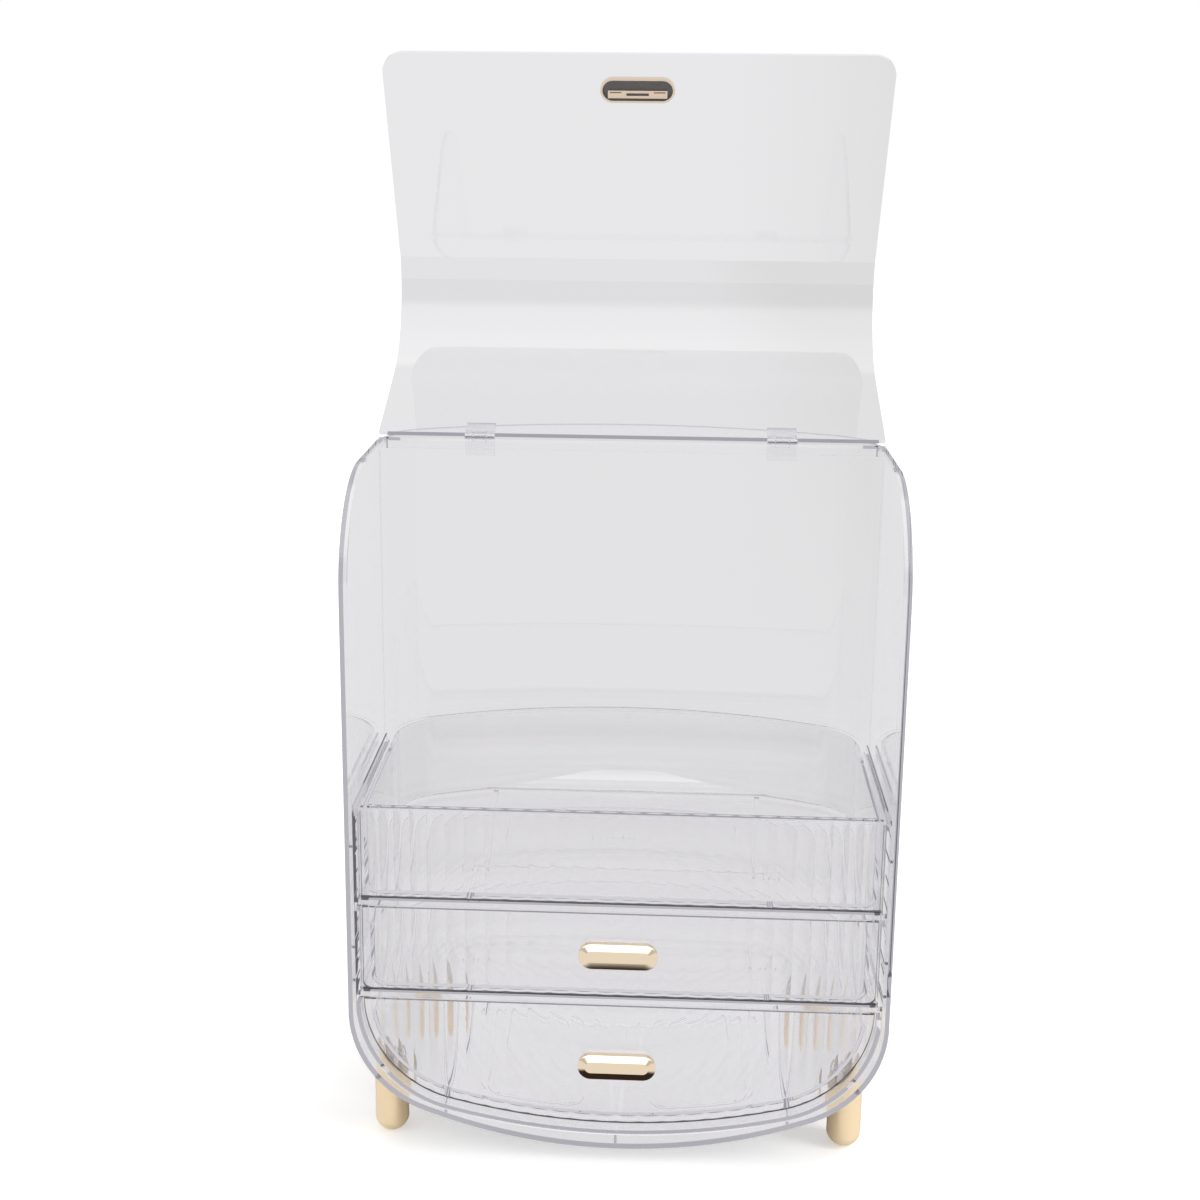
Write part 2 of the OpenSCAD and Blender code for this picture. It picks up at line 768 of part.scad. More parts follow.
// Solid handle with a bevelled face, standing on its panel
module handle_body(inset, height) {
    run = handle_w / 2 - handle_h / 2;
    r = handle_h / 2 - inset;
    base = height - handle_bevel;
    linear_extrude(base) pill(inset);
    translate([0, 0, base]) {
        for (s = [-1, 1]) translate([s * run, 0, 0])
            cylinder(h = handle_bevel, r1 = r, r2 = r - handle_bevel, $fn = 64);
        rotate([90, 0, 90]) translate([0, 0, -run]) linear_extrude(2 * run)
            polygon([[-r, 0], [r, 0], [r - handle_bevel, handle_bevel], [-(r - handle_bevel), handle_bevel]]);
    }
}

// Hollow handle, open towards its panel
module handle() {
    difference() {
        handle_body(0, handle_proud);
        translate([0, 0, -1]) linear_extrude(handle_proud - handle_bevel + 1 - seat_gap) pill(handle_wall);
        handle_body(handle_wall + handle_step, handle_proud - handle_wall);
    }
}

// Clip bar that lies in the hollow of a handle, with two end tabs and a slot between them
module clip() {
    top = handle_proud - handle_bevel - seat_gap;
    y0 = -clip_h - clip_off;
    difference() {
        translate([-clip_w / 2, y0, top - clip_t]) cube([clip_w, clip_h, clip_t]);
        translate([-clip_slot_w / 2, y0 + clip_h / 3, 0]) cube([clip_slot_w, clip_h / 3, handle_proud]);
    }
    for (s = [-1, 1])
        translate([s * (clip_w / 2 - clip_tab_in - clip_tab_w / 2) - clip_tab_w / 2, y0 + clip_h / 4,
                   top - 1.5 * clip_t])
            cube([clip_tab_w, clip_h / 2, clip_t]);
}

// On the outer face of a front, facing forward
module on_front(z) { translate([0, front_setback - seat_gap, z]) rotate([90, 0, 0]) children(); }

// On the outer face of the lid, near its free edge
module on_lid() {
    turned_up() translate([0, -lid_outer - seat_gap, lid_handle_z]) rotate([90, 0, 0]) children();
}

module upper_drawer_handle() color(GOLD) placed() on_front(upper_handle_z) handle();

module upper_drawer_handle_clip() color(DARK_GOLD) placed() on_front(upper_handle_z) clip();

module lower_drawer_handle() color(GOLD) placed() on_front(lower_handle_z) handle();

module lower_drawer_handle_clip() color(DARK_GOLD) placed() on_front(lower_handle_z) clip();

module lid_handle() color(GOLD) placed() on_lid() handle();

module lid_handle_clip() color(DARK_GOLD) placed() on_lid() mirror([0, 1, 0]) clip();

// Closed lid from the side: a sheet that wraps over the brow
module lid_section() {
    intersection() {
        difference() {
            brow(-lid_outer);
            brow(-lid_gap);
        }
        rect(-FAR, lid_edge_z, lid_end_y, housing_top + FAR);
    }
}

// Lid from the front, with round corners at the free edge
module lid_outline() {
    x = housing_x(lid_edge_z);
    difference() {
        polygon([[-x, lid_edge_z], [x, lid_edge_z], [housing_x(housing_top + FAR), housing_top + FAR],
                 [-housing_x(housing_top + FAR), housing_top + FAR]]);
        for (s = [-1, 1]) difference() {
            translate([s * x, lid_edge_z]) square(2 * lid_corner_r, center = true);
            translate([s * (x - lid_corner_r), lid_edge_z + lid_corner_r]) circle(lid_corner_r, $fn = 64);
        }
    }
}

module lid() color(CLEAR) placed() turned_up() {
    intersection() {
        along_x(-housing_w, housing_w) lid_section();
        along_y(-FAR, housing_depth) lid_outline();
    }
}

// Cylinder along the hinge line, centred on a hinge
module hinge_rod(r, w) {
    translate([hinge_x - w / 2, hinge_y, hinge_z]) rotate([0, 90, 0]) cylinder(h = w, r = r, $fn = 64);
}

// Leaf on the lip of the housing, with an ear at each side of the lid's knuckle
module hinge_bracket() {
    x0 = hinge_x - hinge_w / 2;
    x1 = hinge_x + hinge_w / 2;
    back = lip_y - seat_gap;
    low = housing_top - leaf_h;
    difference() {
        union() {
            block(x0, back - leaf_t, low, x1, back, hinge_z);
            hinge_rod(knuckle_r, hinge_w);
        }
        hinge_rod(pin_r + pin_gap, hinge_w + 2);
        block(hinge_x - knuckle_w / 2 - knuckle_gap, hinge_y - FAR, hinge_z - knuckle_r - notch_room,
              hinge_x + knuckle_w / 2 + knuckle_gap, hinge_y + FAR, hinge_z + FAR);
    }
}

// Side profile of the lid's knuckle: a round, an arm to the leaf, and the toe that stops the open lid
module knuckle_section(leaf_z) {
    difference() {
        union() {
            translate([hinge_y, hinge_z]) circle(knuckle_r, $fn = 96);
            translate([hinge_y, hinge_z]) rotate(-lid_open)
                rect(-knuckle_r - arm_run, leaf_z - hinge_z, 0, leaf_z - hinge_z + leaf_t);
            rect(hinge_y, housing_top + slide_gap, lip_y + toe_reach, housing_top + slide_gap + toe_t);
        }
        translate([hinge_y, hinge_z]) circle(pin_r + pin_gap, $fn = 96);
    }
}

// Leaf on the inner face of the lid, carried by the middle knuckle
module lid_knuckle() {
    leaf_z = housing_top + lid_gap - seat_gap - leaf_t;
    along_x(hinge_x - knuckle_w / 2, hinge_x + knuckle_w / 2) knuckle_section(leaf_z);
    turned_up() block(hinge_x - hinge_w / 2, hinge_y - lid_leaf_reach, leaf_z, hinge_x + hinge_w / 2,
                      hinge_y - knuckle_r - leaf_room, leaf_z + leaf_t);
}

module hinge_pin() { hinge_rod(pin_r, hinge_w); }

// Foot: an upright peg with a rounded end, its top cut to the curved underside
module foot(x, y) {
    r = foot_d / 2;
    dome_r = (pow(r, 2) + pow(foot_dome_h, 2)) / (2 * foot_dome_h);
    flat_up = dome_r - sqrt(pow(dome_r, 2) - pow(foot_flat_r, 2));
    difference() {
        translate([x, y, 0]) rotate_extrude($fn = 96) intersection() {
            union() {
                translate([0, dome_r - flat_up]) circle(dome_r, $fn = 180);
                rect(0, foot_dome_h, r, corner_z + FAR);
            }
            rect(0, 0, r, corner_z);
        }
        along_y(-FAR, housing_depth) housing_front(-seat_gap);
        screw_axis(x, y) translate([0, 0, -1])
            cylinder(h = screw_len + 2, r = screw_r + pin_gap, $fn = 48);
    }
}

module foot_front(side) color(GOLD) placed() on_side(side) foot(foot_x, foot_front_y);

module foot_rear(side) color(GOLD) placed() on_side(side) foot(foot_rear_x, foot_rear_y);

// Pan-head screw from inside the housing into a foot
module foot_screw() {
    rise = pow(screw_head_r, 2) / (2 * (corner_r - housing_wall)) + seat_gap;
    translate([0, 0, -rise]) {
        cylinder(h = screw_len + rise, r = screw_r, $fn = 48);
        rotate([180, 0, 0])
            cylinder(h = screw_head_h, r1 = screw_head_r, r2 = screw_head_r - screw_head_h / 2, $fn = 48);
    }
}

module foot_screws() color(STEEL) placed() screw_axes() foot_screw();

housing_shell();
drawer_frame();
upper_shelf();
lower_shelf();
makeup_tray();
upper_drawer();
lower_drawer();
upper_drawer_handle();
upper_drawer_handle_clip();
lower_drawer_handle();
lower_drawer_handle_clip();
lid();
lid_handle();
lid_handle_clip();
color(CLEAR) placed() on_side(-1) hinge_bracket();  // hinge_bracket_left
color(CLEAR) placed() on_side(1) hinge_bracket();  // hinge_bracket_right
color(CLEAR) placed() on_side(-1) lid_knuckle();  // lid_knuckle_left
color(CLEAR) placed() on_side(1) lid_knuckle();  // lid_knuckle_right
color(STEEL) placed() on_side(-1) hinge_pin();  // hinge_pin_left
color(STEEL) placed() on_side(1) hinge_pin();  // hinge_pin_right
lid_rest_pad(-1);  // lid_rest_pad_left
lid_rest_pad(1);  // lid_rest_pad_right
foot_front(-1);  // foot_front_left
foot_front(1);  // foot_front_right
foot_rear(-1);  // foot_rear_left
foot_rear(1);  // foot_rear_right
foot_screws();
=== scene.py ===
"""Looks of the clear makeup organizer: finishes, pulls, studio and camera round its CAD frame."""

from __future__ import annotations

import json
import logging
import math
from abc import ABC, abstractmethod
from dataclasses import dataclass, replace
from enum import Enum
from functools import reduce

import bmesh
import bpy
from mathutils import Matrix, Vector

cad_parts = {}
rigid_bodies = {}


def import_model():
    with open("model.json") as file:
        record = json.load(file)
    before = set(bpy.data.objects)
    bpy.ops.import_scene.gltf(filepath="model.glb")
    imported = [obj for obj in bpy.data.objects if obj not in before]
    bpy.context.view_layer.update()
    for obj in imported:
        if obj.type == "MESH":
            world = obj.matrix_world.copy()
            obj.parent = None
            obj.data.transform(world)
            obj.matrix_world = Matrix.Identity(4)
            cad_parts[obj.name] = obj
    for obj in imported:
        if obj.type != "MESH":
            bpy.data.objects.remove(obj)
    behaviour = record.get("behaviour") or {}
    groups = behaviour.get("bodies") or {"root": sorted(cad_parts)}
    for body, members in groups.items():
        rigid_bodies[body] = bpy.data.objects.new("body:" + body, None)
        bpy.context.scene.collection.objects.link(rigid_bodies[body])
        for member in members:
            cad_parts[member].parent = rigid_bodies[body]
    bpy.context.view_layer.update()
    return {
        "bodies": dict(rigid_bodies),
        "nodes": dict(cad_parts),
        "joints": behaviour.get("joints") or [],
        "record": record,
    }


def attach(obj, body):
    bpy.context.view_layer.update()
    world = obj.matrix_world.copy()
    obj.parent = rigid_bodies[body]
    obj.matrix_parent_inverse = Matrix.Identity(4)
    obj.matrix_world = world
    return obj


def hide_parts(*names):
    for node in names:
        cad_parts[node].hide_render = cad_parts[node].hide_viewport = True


LOG = logging.getLogger("organizer")

Colour = tuple[float, float, float]
Point = tuple[float, float, float]
Span = tuple[float, float]
Socket = bpy.types.NodeSocket


class Body(Enum):
    """The moving groups that carry a pull."""

    LID = "lid"
    UPPER_DRAWER = "upper_drawer"
    LOWER_DRAWER = "lower_drawer"


class Slot(Enum):
    """The record's material slot that the pulls take."""

    GOLD = "gold_metal"


def rgba(colour: Colour) -> tuple[float, float, float, float]:
    """Return a colour with a full alpha."""
    return (*colour, 1.0)


@dataclass(frozen=True)
class Wiring:
    """A node tree, with short ways to add nodes to it and to link them."""

    tree: bpy.types.NodeTree

    def fill(self, socket: Socket, value: Socket | float | Colour) -> None:
        """Link an input to its source, or set it to a plain value.

        Args:
            socket: The input.
            value: The output that feeds it, or its value.
        """
        if isinstance(value, bpy.types.NodeSocket):
            self.tree.links.new(value, socket)
        else:
            socket.default_value = rgba(value) if socket.type == "RGBA" else value

    def node(self, kind: str, inputs: dict[str | int, Socket | float | Colour] | None = None,
             operation: str | None = None) -> bpy.types.Node:
        """Add a node and fill its inputs.

        Args:
            kind: The node's type.
            inputs: What goes into each of its inputs, by name or number.
            operation: What it works out, where it has a choice.

        Returns:
            The node.
        """
        made = self.tree.nodes.new(kind)
        if operation is not None:
            made.operation = operation
        for name, value in (inputs or {}).items():
            self.fill(made.inputs[name], value)
        return made

    def compute(self, operation: str, *values: Socket | float) -> Socket:
        """Return what an operation makes of plain values."""
        return self.node("ShaderNodeMath", dict(enumerate(values)), operation).outputs[0]

    def within(self, value: Socket, low: float, high: float) -> Socket:
        """Return 1 where a value lies between two others, else 0."""
        return self.compute("COMPARE", value, (low + high) / 2, (high - low) / 2)

    def ramp(self, value: Socket, low: float, high: float, least: float = 0.0) -> Socket:
        """Make a soft step of a value.

        Args:
            value: The value.
            low: Where the step starts.
            high: Where the step ends.
            least: The result up to its start.

        Returns:
            The step, which ends at 1.
        """
        step = self.node("ShaderNodeMapRange", {
            "Value": value, "From Min": low, "From Max": high, "To Min": least})
        step.interpolation_type = "SMOOTHSTEP"
        return step.outputs["Result"]

    def pick(self, factor: Socket, off: Socket | Colour, on: Socket | Colour) -> Socket:
        """Pick a colour.

        Args:
            factor: What picks it.
            off: The colour where the factor is 0.
            on: The colour where the factor is 1.

        Returns:
            The picked colour.
        """
        mix = self.tree.nodes.new("ShaderNodeMix")
        mix.data_type = "RGBA"
        for name, value in (("Factor", factor), ("A", off), ("B", on)):
            self.fill(mix.inputs[name], value)
        return mix.outputs["Result"]

    def blend(self, factor: Socket, off: Socket, on: Socket) -> Socket:
        """Return a shader that is off where the factor is 0 and on where it is 1."""
        return self.node("ShaderNodeMixShader", {0: factor, 1: off, 2: on}).outputs[0]

    def split(self, vector: Socket) -> bpy.types.NodeOutputs:
        """Return the X, Y and Z of a vector."""
        return self.node("ShaderNodeSeparateXYZ", {0: vector}).outputs

    def place(self) -> Socket:
        """Return the place on the object, which rides with its body."""
        return self.tree.nodes.new("ShaderNodeTexCoord").outputs["Object"]

    def facing(self) -> Socket:
        """Return the surface's direction."""
        return self.tree.nodes.new("ShaderNodeTexCoord").outputs["Normal"]

    def outward(self) -> Socket:
        """Find the surface's outward direction, also where a ray meets it from inside.

        Returns:
            The direction.
        """
        inside = self.tree.nodes.new("ShaderNodeNewGeometry").outputs["Backfacing"]
        sign = self.compute("MULTIPLY_ADD", inside, -2.0, 1.0)
        return self.node("ShaderNodeVectorMath", {0: self.facing(), "Scale": sign}, "SCALE").outputs["Vector"]

    def ray(self, name: str) -> Socket:
        """Return one of the facts that the Light Path tells of a ray."""
        return self.tree.nodes.new("ShaderNodeLightPath").outputs[name]

    def turned(self, way: str) -> Socket:
        """Return 1 for rays that were turned at least once in one way."""
        return self.compute("GREATER_THAN", self.ray(f"{way} Depth"), 0.5)

    def sees_plastic(self) -> Socket:
        """Return 1 for rays that a surface has mirrored or let through."""
        return self.compute("MAXIMUM", self.ray("Is Glossy Ray"), self.ray("Is Transmission Ray"))


class MouldSkin:
    """Shader node group for the fine unevenness of a moulded or plated surface."""

    NAME = "mould_skin"
    INPUTS = (("Scale", 40.0), ("Roughness", 0.1), ("Spread", 0.05))
    OUTPUTS = ("Roughness", "Height")
    DETAIL = 2.0
    MIDDLE = 0.5

    @classmethod
    def group(cls) -> bpy.types.NodeTree:
        """Return the group, and build it on the first call.

        Returns:
            The node group. It takes Scale, Roughness and Spread, and gives Roughness and Height.
        """
        tree = bpy.data.node_groups.get(cls.NAME)
        if tree is not None:
            return tree
        tree = bpy.data.node_groups.new(cls.NAME, "ShaderNodeTree")
        for name, value in cls.INPUTS:
            made = tree.interface.new_socket(name=name, in_out="INPUT", socket_type="NodeSocketFloat")
            made.default_value = value
        for name in cls.OUTPUTS:
            tree.interface.new_socket(name=name, in_out="OUTPUT", socket_type="NodeSocketFloat")
        wiring = Wiring(tree)
        inside = wiring.node("NodeGroupInput").outputs
        outside = wiring.node("NodeGroupOutput").inputs
        broad = wiring.node("ShaderNodeTexNoise", {
            "Vector": wiring.place(), "Scale": inside["Scale"], "Detail": cls.DETAIL})
        centred = wiring.compute("SUBTRACT", broad.outputs["Fac"], cls.MIDDLE)
        spread = wiring.compute("MULTIPLY_ADD", centred, inside["Spread"], inside["Roughness"])
        wiring.fill(outside["Roughness"], wiring.node("ShaderNodeClamp", {"Value": spread}).outputs[0])
        wiring.fill(outside["Height"], broad.outputs["Fac"])
        return tree


@dataclass(frozen=True)
class TrappedLight:
    """The glowing tint in which light ends that runs along inside a wall: painted light and shade.

    It is pale where the light ends on the wall's outer face and dim on its inner one, which paints
    fine lines of light and shade along the edges. Below inner_from both faces are pale.
    """

    outer: Colour
    inner: Colour = (0.10, 0.095, 0.12)
    turns: float = 5.5
    middle: Point = (0.0, 0.0, 0.19)
    inner_from: float = -1.0

    def end(self, wiring: Wiring, surface: Socket) -> Socket:
        """Give a surface's inner reflections their end.

        Args:
            wiring: The material's wiring.
            surface: The plastic's own shader.

        Returns:
            The shader with that end.
        """
        place = wiring.place()
        away = wiring.node("ShaderNodeVectorMath", {0: place, 1: self.middle}, "SUBTRACT").outputs["Vector"]
        along = wiring.node("ShaderNodeVectorMath", {0: away, 1: wiring.outward()}, "DOT_PRODUCT")
        outer = wiring.compute("GREATER_THAN", along.outputs["Value"], 0.0)
        low = wiring.compute("LESS_THAN", wiring.split(place)["Z"], self.inner_from)
        painted_glow = wiring.pick(wiring.compute("MAXIMUM", outer, low), self.inner, self.outer)
        # Painted light and shade: rays turned more than `turns` times inside the wall end in this glowing
        # pale or dim tint.
        often = wiring.compute("GREATER_THAN", wiring.ray("Glossy Depth"), self.turns)
        return wiring.blend(often, surface, wiring.node("ShaderNodeEmission", {"Color": painted_glow}).outputs[0])


@dataclass(frozen=True)
class PaintedShadeEdge:
    """Painted shade on the narrow faces round a front panel, or on the front strip of a shelf: a dark, rough
    surface in place of the clear plastic.
    """

    colour: Colour
    depth: Span = (-0.0993, -0.0958)
    top: float = 0.1935
    frontward: Span = (-0.4, 0.4)
    upward: Span = (-1.0, 0.5)
    roughness: float = 0.45

    def lay(self, wiring: Wiring, surface: Socket) -> Socket:
        """Lay the painted shade over the plastic.

        Args:
            wiring: The material's wiring.
            surface: The plastic's own shader.

        Returns:
            The shader with its dark faces.
        """
        place, facing = wiring.split(wiring.place()), wiring.split(wiring.outward())
        tests = (
            wiring.within(place["Y"], *self.depth),
            wiring.within(facing["Y"], *self.frontward),
            wiring.within(facing["Z"], *self.upward),
            wiring.compute("LESS_THAN", place["Z"], self.top),
        )
        mask = reduce(lambda one, other: wiring.compute("MULTIPLY", one, other), tests)
        # Painted shade: near-black rough faces stand where these edges and gaps show dark lines.
        painted_shade = wiring.node("ShaderNodeBsdfPrincipled", {
            "Base Color": self.colour, "Roughness": self.roughness})
        return wiring.blend(mask, surface, painted_shade.outputs[0])


@dataclass(frozen=True)
class Flank:
    """Painted shade: a darker tint on faces that turn to the side, such as the flanks of the flutes."""

    share: float
    steep: Span = (0.25, 0.60)

    def shade_flanks(self, wiring: Wiring, unshaded: Socket, colour: Colour) -> Socket:
        """Return the colour with painted shade on its flanks.

        Args:
            wiring: The material's wiring.
            unshaded: The colour elsewhere.
            colour: The finish's plain colour.

        Returns:
            The socket that gives the colour.
        """
        # Painted shade: the more a face turns to the side, the darker its tint.
        sideways = wiring.compute("ABSOLUTE", wiring.split(wiring.facing())["X"])
        steep = wiring.node("ShaderNodeMapRange", {
            "Value": sideways, "From Min": self.steep[0], "From Max": self.steep[1]})
        return wiring.pick(steep.outputs["Result"], unshaded, tuple(self.share * c for c in colour))


@dataclass(frozen=True)
class Finish:
    """A finish of the organizer, as one procedural material."""

    name: str
    colour: Colour
    roughness: float
    spread: float = 0.02
    scale: float = 40.0
    cloud_scale: float = 0.3
    cloud_share: float = 0.985
    bump: float = 0.0
    bump_distance: float = 0.0002
    metallic: float = 0.0
    transmission: float = 0.0
    ior: float = 1.5
    coat: float = 0.0
    coat_roughness: float = 0.08
    lamp_share: float = 0.0
    trapped: TrappedLight | None = None
    edge: PaintedShadeEdge | None = None
    flank: Flank | None = None

    def material(self) -> bpy.types.Material:
        """Return the material, and build it on the first call.

        Returns:
            The procedural material of this finish.
        """
        made = bpy.data.materials.get(self.name)
        if made is not None:
            return made
        made = bpy.data.materials.new(self.name)
        made.use_nodes = True
        made.node_tree.nodes.clear()
        wiring = Wiring(made.node_tree)
        surface = self._plain(wiring)
        if self.edge is not None:
            surface = self.edge.lay(wiring, surface)
        if self.trapped is not None:
            surface = self.trapped.end(wiring, surface)
        if self.lamp_share > 0:
            opening = wiring.node("ShaderNodeBsdfTransparent", {"Color": (self.lamp_share,) * 3})
            surface = wiring.blend(wiring.ray("Is Shadow Ray"), surface, opening.outputs[0])
        wiring.node("ShaderNodeOutputMaterial", {"Surface": surface})
        return made

    def _plain(self, wiring: Wiring) -> Socket:
        """Return the finish's own shader.

        Args:
            wiring: The material's wiring.

        Returns:
            The shader's socket.
        """
        skin = wiring.node("ShaderNodeGroup")
        skin.node_tree = MouldSkin.group()
        for name, value in (("Scale", self.scale), ("Roughness", self.roughness), ("Spread", self.spread)):
            skin.inputs[name].default_value = value
        shader = wiring.node("ShaderNodeBsdfPrincipled", {
            "Base Color": self._colour(wiring), "Roughness": skin.outputs["Roughness"],
            "Metallic": self.metallic, "Transmission Weight": self.transmission, "IOR": self.ior,
            "Coat Weight": self.coat, "Coat Roughness": self.coat_roughness,
        })
        if self.bump > 0:
            bump = wiring.node("ShaderNodeBump", {
                "Strength": self.bump, "Distance": self.bump_distance, "Height": skin.outputs["Height"]})
            wiring.fill(shader.inputs["Normal"], bump.outputs["Normal"])
        return shader.outputs["BSDF"]

    def _colour(self, wiring: Wiring) -> Socket:
        """Return the finish's colour with a faint cloud over it.

        Args:
            wiring: The material's wiring.

        Returns:
            The socket that gives the colour.
        """
        cloud = wiring.node("ShaderNodeTexNoise", {
            "Vector": wiring.place(), "Scale": self.scale * self.cloud_scale})
        deep = tuple(self.cloud_share * c for c in self.colour)
        colour = wiring.pick(cloud.outputs["Fac"], self.colour, deep)
        return colour if self.flank is None else self.flank.shade_flanks(wiring, colour, self.colour)


# SHELL_CLEAR, the clear finishes built from it and HINGE_CLEAR end their trapped rays in a glow: painted
# light and shade along the edges.
SHELL_CLEAR = Finish("clear_styrene", (0.990, 0.988, 0.993), 0.0, spread=0.0, scale=14.0, transmission=1.0,
                     lamp_share=0.9, trapped=TrappedLight((0.45, 0.44, 0.48), (0.10, 0.097, 0.12),
                                                          inner_from=0.055))
# SHELF_CLEAR and BOX_CLEAR lay painted shade, a dark rough surface, on the shelf's front strip and round the
# front panels.
SHELF_CLEAR = replace(SHELL_CLEAR, name="clear_styrene_shelf",
                      edge=PaintedShadeEdge((0.15, 0.147, 0.17), upward=(0.5, 1.1)))
# BOX_CLEAR also paints shade on its faces that turn to the side.
BOX_CLEAR = replace(SHELL_CLEAR, name="clear_styrene_box", colour=(0.999, 0.997, 1.0), flank=Flank(0.90),
                    trapped=TrappedLight((0.62, 0.61, 0.65), (0.30, 0.29, 0.33)),
                    edge=PaintedShadeEdge((0.08, 0.078, 0.095)))
LID_CLEAR = replace(SHELL_CLEAR, name="clear_styrene_lid",
                    trapped=TrappedLight((0.80, 0.79, 0.82), (0.36, 0.35, 0.39)))
HINGE_CLEAR = Finish("clear_hinge_moulding", (0.96, 0.96, 0.975), 0.12, spread=0.05, scale=400.0,
                     transmission=1.0, lamp_share=0.8, trapped=TrappedLight((0.80, 0.79, 0.82)))
GOLD = Finish("pale_gold_plate", (0.90, 0.75, 0.56), 0.09, spread=0.04, scale=260.0, metallic=1.0)
HOLLOW_GREY = Finish("unplated_hollow", (0.085, 0.065, 0.055), 0.32, spread=0.08, scale=300.0, metallic=0.3)
CLIP_GOLD = Finish("rose_gold_clip", (0.92, 0.74, 0.55), 0.12, spread=0.06, scale=320.0, metallic=1.0)
FOOT_GOLD = Finish("satin_champagne", (0.89, 0.70, 0.45), 0.36, spread=0.06, scale=180.0, bump=0.12,
                   metallic=0.40, coat=0.35)
SCREW_STEEL = Finish("screw_steel", (0.66, 0.66, 0.68), 0.24, spread=0.08, scale=500.0, metallic=1.0)
PAD_CLEAR = Finish("bumper_rubber", (0.95, 0.95, 0.96), 0.3, spread=0.05, scale=500.0, transmission=1.0,
                   ior=1.45, lamp_share=0.8)


@dataclass(frozen=True)
class PullHandle:
    """A hollow plated pull: a pill with a narrow face between two wide slopes."""

    name: str
    body: Body
    node: str
    width: float = 0.041
    height: float = 0.014
    proud: float = 0.005
    slope_in: float = 0.0039
    slope_rise: float = 0.0020
    face_up: float = 0.0009
    wall: float = 0.0012
    hollow: float = 0.0027
    crease: float = 0.00018
    crease_steps: int = 2
    segments: int = 72
    smooth_below: float = 9.0
    level_slack: float = 1e-6
    hollow_slack: float = 1e-5
    face_slack: float = 1e-4

    def build(self, place: Matrix) -> bpy.types.Object:
        """Model the pull on its panel, where it stands for the CAD node.

        Args:
            place: The panel's frame, with Z out of the panel and Y up along it.

        Returns:
            The finished piece.
        """
        shape = bmesh.new()
        self._raise_pill(shape)
        self._sink_hollow(shape)
        bmesh.ops.recalc_face_normals(shape, faces=shape.faces)
        for face in shape.faces:
            face.smooth = True
            face.material_index = int(self._in_hollow(face))
        shape.transform(place)
        mesh = bpy.data.meshes.new(self.name)
        shape.to_mesh(mesh)
        shape.free()
        mesh.set_sharp_from_angle(angle=math.radians(self.smooth_below))
        for finish in (GOLD, HOLLOW_GREY):
            mesh.materials.append(finish.material())
        piece = bpy.data.objects.new(self.name, mesh)
        bpy.context.scene.collection.objects.link(piece)
        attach(piece, self.body.value)
        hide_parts(self.node)
        LOG.info("%s: %d faces, for %s", self.name, len(mesh.polygons), self.node)
        return piece

    def _raise_pill(self, shape: bmesh.types.BMesh) -> None:
        """Make the pill with its slopes, its face and its creases.

        Args:
            shape: The empty mesh that takes the pill.
        """
        bmesh.ops.create_circle(shape, cap_ends=True, segments=self.segments, radius=self.height / 2,
                                matrix=Matrix.Rotation(math.pi / self.segments, 4, "Z"))
        run = (self.width - self.height) / 2
        for vert in shape.verts:
            vert.co.x += math.copysign(run, vert.co.x)
        self._extrude(shape, list(shape.faces), self.proud - self.slope_rise)
        bmesh.ops.recalc_face_normals(shape, faces=shape.faces)
        front = max(shape.faces, key=lambda f: f.calc_center_median().z)
        bmesh.ops.inset_region(shape, faces=[front], thickness=self.slope_in, depth=self.slope_rise,
                               use_even_offset=True)
        bmesh.ops.translate(shape, verts=front.verts, vec=(0.0, self.face_up, 0.0))
        rims = [e for e in shape.edges if self._is_crease(e)]
        bmesh.ops.bevel(shape, geom=rims, offset=self.crease, offset_type="OFFSET",
                        segments=self.crease_steps, profile=0.5, affect="EDGES", clamp_overlap=True,
                        material=-1)

    def _sink_hollow(self, shape: bmesh.types.BMesh) -> None:
        """Sink the hollow into the pill's back.

        Args:
            shape: The mesh with the full pill.
        """
        back = min(shape.faces, key=lambda f: f.calc_center_median().z)
        bmesh.ops.inset_region(shape, faces=[back], thickness=self.wall, use_even_offset=True)
        self._extrude(shape, [back], self.hollow)
        bmesh.ops.delete(shape, geom=[f for f in shape.faces if self._is_lost(f)], context="FACES")

    @staticmethod
    def _extrude(shape: bmesh.types.BMesh, faces: list[bmesh.types.BMFace], rise: float) -> None:
        """Extrude faces straight out of the panel.

        Args:
            shape: The mesh that has the faces.
            faces: The faces.
            rise: How far they move.
        """
        drawn = bmesh.ops.extrude_face_region(shape, geom=faces)["geom"]
        bmesh.ops.translate(shape, verts=[v for v in drawn if isinstance(v, bmesh.types.BMVert)],
                            vec=(0.0, 0.0, rise))

    def _is_crease(self, edge: bmesh.types.BMEdge) -> bool:
        """Tell whether an edge runs round the face or round the top of the side wall.

        Args:
            edge: An edge of the full pill.

        Returns:
            Whether it is one of these creases.
        """
        low = min(v.co.z for v in edge.verts)
        level = abs(edge.verts[0].co.z - edge.verts[1].co.z) < self.level_slack
        return level and low > self.proud - self.slope_rise - self.level_slack

    def _is_lost(self, face: bmesh.types.BMFace) -> bool:
        """Tell whether a face closes the mouth of the hollow, where none may be left."""
        middle = face.calc_center_median()
        return len(face.verts) == self.segments and abs(middle.z) < self.level_slack

    def _in_hollow(self, face: bmesh.types.BMFace) -> bool:
        """Tell whether a face lies inside the hollow.

        Args:
            face: A face of the finished pull.

        Returns:
            Whether it is inside.
        """
        middle = face.calc_center_median()
        if len(face.verts) == self.segments:
            return middle.z < self.proud - self.face_slack
        inner = self.height / 2 - self.wall + self.hollow_slack
        side = Vector((max(abs(middle.x) - (self.width - self.height) / 2, 0.0), middle.y))
        return side.length < inner and self.hollow_slack < middle.z < self.hollow


